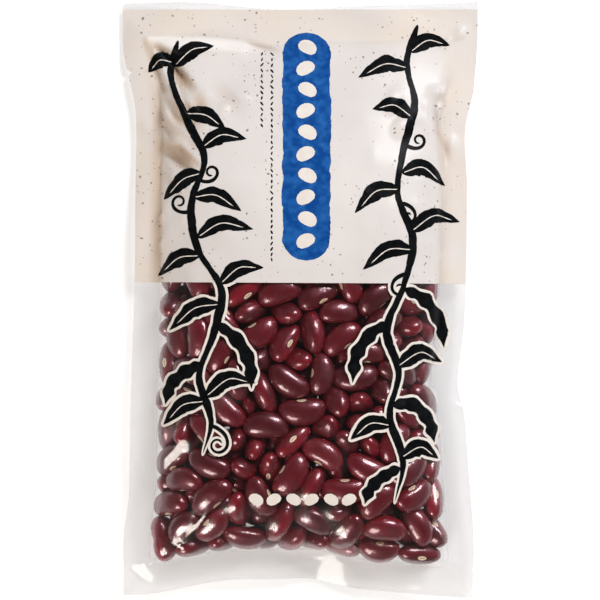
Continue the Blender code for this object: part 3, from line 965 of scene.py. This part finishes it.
CREAM = colour(218, 211, 207), colour(227, 221, 216)
CREAM_LAYERS = (
    # Warmer on the rims, then painted shade on the rim beside the pillow
    (colour(227, 216, 205), ("depth", 0.0040, -0.0015), ("bands", 0.36, 0.60, 0.20, 1.0)),
    (
        colour(208, 184, 160), ("depth", -0.0050, -0.0022), ("depth", 0.0006, -0.0004),
        ("Y", 0.090, 0.070), ("X", -0.04, 0.04, 0.62, 0.15),
    ),
    # Painted light: a pale strip inside the top seal at the left
    (
        colour(248, 242, 236), ("depth", -0.0012, -0.0002), ("depth", 0.0048, 0.0026),
        ("Y", 0.088, 0.092), ("X", -0.012, -0.030, 0.0, 0.75),
    ),
    # Painted shade in the creases by how deep they are, then the fibres
    (colour(194, 168, 142), ("X", -0.02, 0.03, 1.0, 0.5), ("crease_painted_shade", 0.0003, 0.0022, 0.0, 0.75)),
    (colour(150, 122, 96), ("X", -0.02, 0.03, 1.0, 0.5), ("crease_painted_shade", 0.0018, 0.0046, 0.0, 0.75)),
    (colour(206, 192, 178), ("fibres", 0.62, 0.74, 0.0, 0.15)),
)
CLOUD_NOISE, CLOUD_SHARE, BAND_NOISE = (28.0, 4.0), (0.35, 0.65), (34.0, 2.0)
FIBRE_NOISE, FIBRE_STRETCH, FIBRE_TURN = (900.0, 2.0, 0.8), (1.0, 0.25, 1.0), (0.0, 0.0, 0.5)
SHAKE_NOISE, SHAKE, CROWD_NOISE, CROWD = (500.0, 1.0), 0.0013, (75.0, 1.0), (0.35, 0.65, -0.30, 0.22)
# Flecks: cells a metre, how large at most, how rare, and their colour.
FLECKS = ((250.0, 0.100, 0.66, colour(122, 102, 88)), (470.0, 0.115, 0.84, colour(146, 128, 114)))
FLECK_SMALLEST, FLECK_EDGE, FLECK_SHARE = 0.03, 0.030, 0.85

# Inks: their colour, the colour where they are worn, and their roughness.
BLACK_INK = colour(13, 14, 15), colour(23, 24, 26), 0.28
CREAM_INK = colour(233, 225, 216), colour(226, 216, 206), 0.36
BLUE_INK = colour(17, 71, 141), colour(42, 104, 176), 0.30
INK_NOISE, WORN_SHARE, INK_BUMP = (320.0, 4.0), (0.40, 0.75), (0.1, 0.0001)
INK_RANGE, INK_UNEVEN, INK_GLOSS = (0.3, 0.7), 0.05, 0.03

PRINT_EDGE, TOP_PRINT_EDGE = 0.00008, 0.00010
PRINT_FINISH = {"Roughness": 0.27, "Specular IOR Level": 0.14}
WAVE_NOISE, WAVE_BUMP = (180.0, 2.0), (0.25, 0.0003)
FILM_CLEAR, FILM_MILK = (0.985, 0.985, 0.983, 1.0), (0.745, 0.720, 0.718, 1.0)
HAZE_NOISE, HAZE, RIM_HAZE = (45.0, 3.0), (0.60, 0.85, 0.002, 0.03), 0.46
GRAZING_POWER = 5.0
# The film's gloss is blurred most just inside the seal.
FILM_ROUGHNESS, BLUR_FROM, BLUR_TO = 0.14, (-0.0004, 0.0004), (0.0005, 0.0045, 0.12, 0.0)

FLOOR_DULL, FLOOR_WHITE = (0.73, 0.73, 0.73, 1.0), (0.75, 0.75, 0.75, 1.0)
FLOOR_NOISE, FLOOR_ROUGHNESS, FLOOR_GLOW = (60.0, 2.0), 0.9, 0.40


def node(tree, kind, inputs=None, **settings):
    """Adds a node, with each input given as a value or as the output that feeds it."""
    made = tree.nodes.new("ShaderNode" + kind)
    for name, value in settings.items():
        setattr(made, name, value)
    for name, value in (inputs or {}).items():
        if isinstance(value, bpy.types.NodeSocket):
            tree.links.new(value, made.inputs[name])
        else:
            made.inputs[name].default_value = value
    return made


def maths(tree, operation, *values):
    return node(tree, "Math", dict(enumerate(values)), operation=operation).outputs[0]


def times(tree, first, *others):
    """All the values multiplied."""
    for other in others:
        first = maths(tree, "MULTIPLY", first, other)
    return first


def noisy(tree, at, scale, detail, distortion=0.0, output="Fac"):
    inputs = {"Vector": at, "Scale": scale, "Detail": detail, "Distortion": distortion}
    return node(tree, "TexNoise", inputs).outputs[output]


def bumped(tree, height, strength, distance, **below):
    inputs = {"Height": height, "Strength": strength, "Distance": distance, **below}
    return node(tree, "Bump", inputs).outputs["Normal"]


def attribute(tree, name, output="Fac"):
    return node(tree, "Attribute", attribute_name=name).outputs[output]


def object_place(tree):
    return node(tree, "TexCoord").outputs["Object"]


def between(tree, value, low, high, to_low=0.0, to_high=1.0):
    """The value taken from one range to another and held there."""
    inputs = {"Value": value, "From Min": low, "From Max": high, "To Min": to_low, "To Max": to_high}
    return node(tree, "MapRange", inputs).outputs["Result"]


def blended(tree, share, one, other):
    """A colour between two, by a share."""
    made = node(tree, "Mix", data_type="RGBA")
    colours = [s for s in made.inputs if s.type == "RGBA"]
    factor = next(s for s in made.inputs if s.enabled and s.name == "Factor")
    for socket, value in ((factor, share), (colours[0], one), (colours[1], other)):
        if isinstance(value, bpy.types.NodeSocket):
            tree.links.new(value, socket)
        else:
            socket.default_value = value
    return next(s for s in made.outputs if s.type == "RGBA")


def layered(tree, below, layers, sources):
    """Lays colours over one below, each where all its ranges let it show."""
    for shade, *ranges in layers:
        shares = [between(tree, sources[name], *numbers or (0.0, 1.0)) for name, *numbers in ranges]
        below = blended(tree, times(tree, *shares), below, shade)
    return below


def new_material(name):
    material = bpy.data.materials.new(name)
    material.use_nodes = True
    tree = material.node_tree
    tree.nodes.clear()
    return material, tree


def shown(tree, shader):
    node(tree, "OutputMaterial", {"Surface": shader})


def bean_skin():
    """Dark maroon, a little mottled, with painted shade over the broad faces and painted light on the edges,
    and the pale scar on the inner side of the bend in its brown ring.
    """
    material, tree = new_material("bean_skin")
    at = object_place(tree)
    blotches = noisy(tree, at, *BLOTCH_NOISE)
    place = node(tree, "SeparateXYZ", {"Vector": attribute(tree, "bean_place", "Vector")}).outputs
    across = times(tree, place["X"], BEAN_LENGTH / 2 / SCAR_HALF_LENGTH)
    up = times(tree, maths(tree, "SUBTRACT", place["Z"], SCAR_RAISED), BEAN_THICKNESS / 2 / SCAR_HALF_WIDTH)
    away = maths(tree, "ADD", times(tree, across, across), times(tree, up, up))
    sources = {
        "blotches": blotches, "broad": maths(tree, "ABSOLUTE", place["Z"]),
        "inner side": maths(tree, "LESS_THAN", place["Y"], 0.0), "from scar": maths(tree, "SQRT", away),
        "up": maths(tree, "ABSOLUTE", up), "across": maths(tree, "ABSOLUTE", across),
    }
    skin = layered(tree, blended(tree, attribute(tree, "bean_shade"), *SKIN), SKIN_LAYERS, sources)
    bump = bumped(tree, noisy(tree, at, *FINE_NOISE), *FINE_BUMP)
    bump = bumped(tree, noisy(tree, at, *DENT_NOISE), *DENT_BUMP, Normal=bump)
    finish = {"Base Color": skin, "Roughness": between(tree, blotches, *SKIN_ROUGHNESS)}
    finish.update({"Normal": bump, "Coat Normal": bump}, **SKIN_FINISH)
    shown(tree, node(tree, "BsdfPrincipled", finish).outputs[0])
    return material


def speckled_cream(tree, at, depth):
    """Cream with soft clouds and sparse brown flecks, as on handmade paper, warmer on the rims, with painted
    shade beside the pillow and in the creases and painted light inside the top seal.
    """
    place = node(tree, "SeparateXYZ", {"Vector": at}).outputs
    drawn = node(tree, "Mapping", {"Vector": at, "Scale": FIBRE_STRETCH, "Rotation": FIBRE_TURN}).outputs[0]
    sources = {
        "X": place["X"], "Y": place["Y"], "depth": depth, "crease_painted_shade": attribute(tree, "crease_painted_shade"),
        "bands": noisy(tree, at, *BAND_NOISE), "fibres": noisy(tree, drawn, *FIBRE_NOISE),
    }
    cream = blended(tree, between(tree, noisy(tree, at, *CLOUD_NOISE), *CLOUD_SHARE), *CREAM)
    return flecked(tree, at, layered(tree, cream, CREAM_LAYERS, sources))


def flecked(tree, at, cream):
    """Sparse flecks on the cream: cells with a spot in some of them, shaken so that no spot is round."""
    shaken = noisy(tree, at, *SHAKE_NOISE, output="Color")
    offset = node(tree, "VectorMath", {0: shaken, 1: (0.5, 0.5, 0.5)}, operation="SUBTRACT").outputs[0]
    offset = node(tree, "VectorMath", {0: offset, "Scale": SHAKE}, operation="SCALE").outputs[0]
    loose = node(tree, "VectorMath", {0: at, 1: offset}, operation="ADD").outputs[0]
    crowd = between(tree, noisy(tree, at, *CROWD_NOISE), *CROWD)
    for scale, largest, rare, shade in FLECKS:
        cells = node(tree, "TexVoronoi", {"Vector": loose, "Scale": scale}, voronoi_dimensions="2D").outputs
        pick = node(tree, "SeparateColor", {"Color": cells["Color"]}).outputs[0]
        pick = maths(tree, "ADD", pick, crowd)
        size = between(tree, pick, rare, 1.0, FLECK_SMALLEST, largest)
        fleck = between(tree, maths(tree, "SUBTRACT", cells["Distance"], size), FLECK_EDGE, -FLECK_EDGE)
        fleck = times(tree, fleck, maths(tree, "GREATER_THAN", pick, rare), FLECK_SHARE)
        cream = blended(tree, fleck, cream, shade)
    return cream


def printed_ink(name, tint, worn, roughness):
    """Even ink with a slightly uneven hold on the film."""
    material, tree = new_material(name)
    uneven = noisy(tree, object_place(tree), *INK_NOISE)
    rough = between(tree, uneven, *INK_RANGE, roughness - INK_UNEVEN, roughness + INK_UNEVEN)
    finish = {"Base Color": blended(tree, between(tree, uneven, *WORN_SHARE), tint, worn), "Roughness": rough}
    finish.update({"Specular IOR Level": INK_GLOSS, "Normal": bumped(tree, uneven, *INK_BUMP)})
    shown(tree, node(tree, "BsdfPrincipled", finish).outputs[0])
    return material


def film_mirror(tree, normal):
    """How much a film face mirrors, from either side: little straight on, and all at a grazing angle."""
    facing = node(tree, "LayerWeight", {"Blend": 0.5, "Normal": normal}).outputs["Facing"]
    return between(tree, maths(tree, "POWER", facing, GRAZING_POWER), 0.0, 1.0, FILM_MIRROR, 1.0)


def bag_film():
    """Clear film with a faint haze, printed cream over its upper half."""
    material, tree = new_material("bag_film")
    at = object_place(tree)
    place = node(tree, "SeparateXYZ", {"Vector": at}).outputs
    line = maths(tree, "SUBTRACT", place["Y"], times(tree, place["X"], PRINT_TILT))
    above = between(tree, line, PRINT_BOTTOM - PRINT_EDGE, PRINT_BOTTOM + PRINT_EDGE)
    below = between(tree, place["Y"], PRINT_TOP + TOP_PRINT_EDGE, PRINT_TOP - TOP_PRINT_EDGE)
    depth = attribute(tree, "in_from_seal")
    bump = bumped(tree, noisy(tree, at, *WAVE_NOISE), *WAVE_BUMP)
    finish = {"Base Color": speckled_cream(tree, at, depth), "Normal": bump, **PRINT_FINISH}
    paper = node(tree, "BsdfPrincipled", finish).outputs[0]
    blurred = times(tree, between(tree, depth, *BLUR_FROM), between(tree, depth, *BLUR_TO))
    blurred = maths(tree, "ADD", blurred, FILM_ROUGHNESS)
    gloss = node(tree, "BsdfGlossy", {"Color": (1, 1, 1, 1), "Roughness": blurred, "Normal": bump}).outputs[0]
    clear = node(tree, "BsdfTransparent", {"Color": FILM_CLEAR}).outputs[0]
    film = node(tree, "MixShader", {0: film_mirror(tree, bump), 1: clear, 2: gloss}).outputs[0]
    haze = times(tree, between(tree, depth, RIM_EDGE, -RIM_EDGE), RIM_HAZE)
    haze = maths(tree, "ADD", between(tree, noisy(tree, at, *HAZE_NOISE), *HAZE), haze)
    milk = node(tree, "BsdfDiffuse", {"Color": FILM_MILK}).outputs[0]
    film = node(tree, "MixShader", {0: haze, 1: film, 2: milk}).outputs[0]
    shown(tree, node(tree, "MixShader", {0: times(tree, above, below), 1: film, 2: paper}).outputs[0])
    return material


def floor_material():
    material, tree = new_material("pale_floor")
    white = blended(tree, noisy(tree, object_place(tree), *FLOOR_NOISE), FLOOR_DULL, FLOOR_WHITE)
    finish = {"Base Color": white, "Roughness": FLOOR_ROUGHNESS}
    finish.update({"Emission Color": (1, 1, 1, 1), "Emission Strength": FLOOR_GLOW})
    shown(tree, node(tree, "BsdfPrincipled", finish).outputs[0])
    return material


# Floor, light and camera

FLOOR_HALF, FLOOR_LEVEL = 3.0, -0.0004
# The lamps: azimuth from +X and elevation, in degrees, distance, width, height, power and tint.
KEY = 52, 41, 1.3, 0.50, 0.50, 15.5, (0.985, 0.995, 1.03)
FILL = 238, 40, 1.3, 0.56, 0.50, 10.6, (1.0, 0.93, 0.86)
# The world's light by how far up it comes from: brighter low down, and dim right above.
WORLD_ABOVE, WORLD_LOW = (0.60, 0.88, 0.14, 0.02), (0.32, 0.0, 0.0, 0.26)


def make_floor():
    shape = bmesh.new()
    bmesh.ops.create_grid(shape, x_segments=1, y_segments=1, size=FLOOR_HALF)
    bmesh.ops.translate(shape, verts=shape.verts[:], vec=(0, 0, FLOOR_LEVEL))
    mesh = as_mesh("floor", shape)
    mesh.materials.append(floor_material())
    placed("floor", mesh)


def softbox(name, azimuth, elevation, distance, width, height, power, tint):
    """A lamp that faces the bag from a direction."""
    lamp = bpy.data.lights.new(name, "AREA")
    lamp.color = tint
    lamp.shape, lamp.size, lamp.size_y, lamp.energy = "RECTANGLE", width, height, power
    made = placed(name, lamp)
    turn, rise = math.radians(azimuth), math.radians(elevation)
    away = Vector((math.cos(turn) * math.cos(rise), math.sin(turn) * math.cos(rise), math.sin(rise)))
    made.location = away * distance
    made.rotation_euler = away.to_track_quat("Z", "Y").to_euler()


def make_light():
    softbox("key", *KEY)
    softbox("fill", *FILL)
    world = bpy.data.worlds.new("studio")
    world.use_nodes = True
    tree = world.node_tree
    up = node(tree, "SeparateXYZ", {"Vector": node(tree, "TexCoord").outputs["Generated"]}).outputs["Z"]
    strength = maths(tree, "ADD", between(tree, up, *WORLD_ABOVE), between(tree, up, *WORLD_LOW))
    tree.links.new(strength, tree.nodes["Background"].inputs["Strength"])
    tree.nodes["Background"].inputs["Color"].default_value = (1.0, 1.0, 1.0, 1.0)
    bpy.context.scene.world = world
    bpy.context.scene.view_settings.view_transform = "Standard"
    bpy.context.scene.cycles.transparent_max_bounces = 16


def make_camera():
    camera = bpy.data.cameras.new("camera")
    camera.sensor_width = SENSOR
    camera.lens = SENSOR * (CAMERA_HEIGHT - RIM_LEVEL) / FRAME_WIDTH
    camera.clip_start, camera.clip_end = CLIPPED
    made = placed("camera", camera)
    made.location = ((MIDDLE_COLUMN - MIDDLE[0]) * PIXEL, 0.0, CAMERA_HEIGHT)
    bpy.context.scene.camera = made


def clear_scene():
    for old in list(bpy.data.objects):
        bpy.data.objects.remove(old)


def main():
    clear_scene()
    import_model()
    low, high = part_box("bag")
    shift = (low.x + high.x) / 2, (low.y + high.y) / 2
    make_camera()
    make_light()
    make_floor()
    beans = make_beans(bean_skin())
    film = make_film(beans, shift, bag_film())
    black, plain = printed_ink("printed_black", *BLACK_INK), printed_ink("printed_cream", *CREAM_INK)
    make_print(film, black, plain, printed_ink("printed_blue", *BLUE_INK))


main()
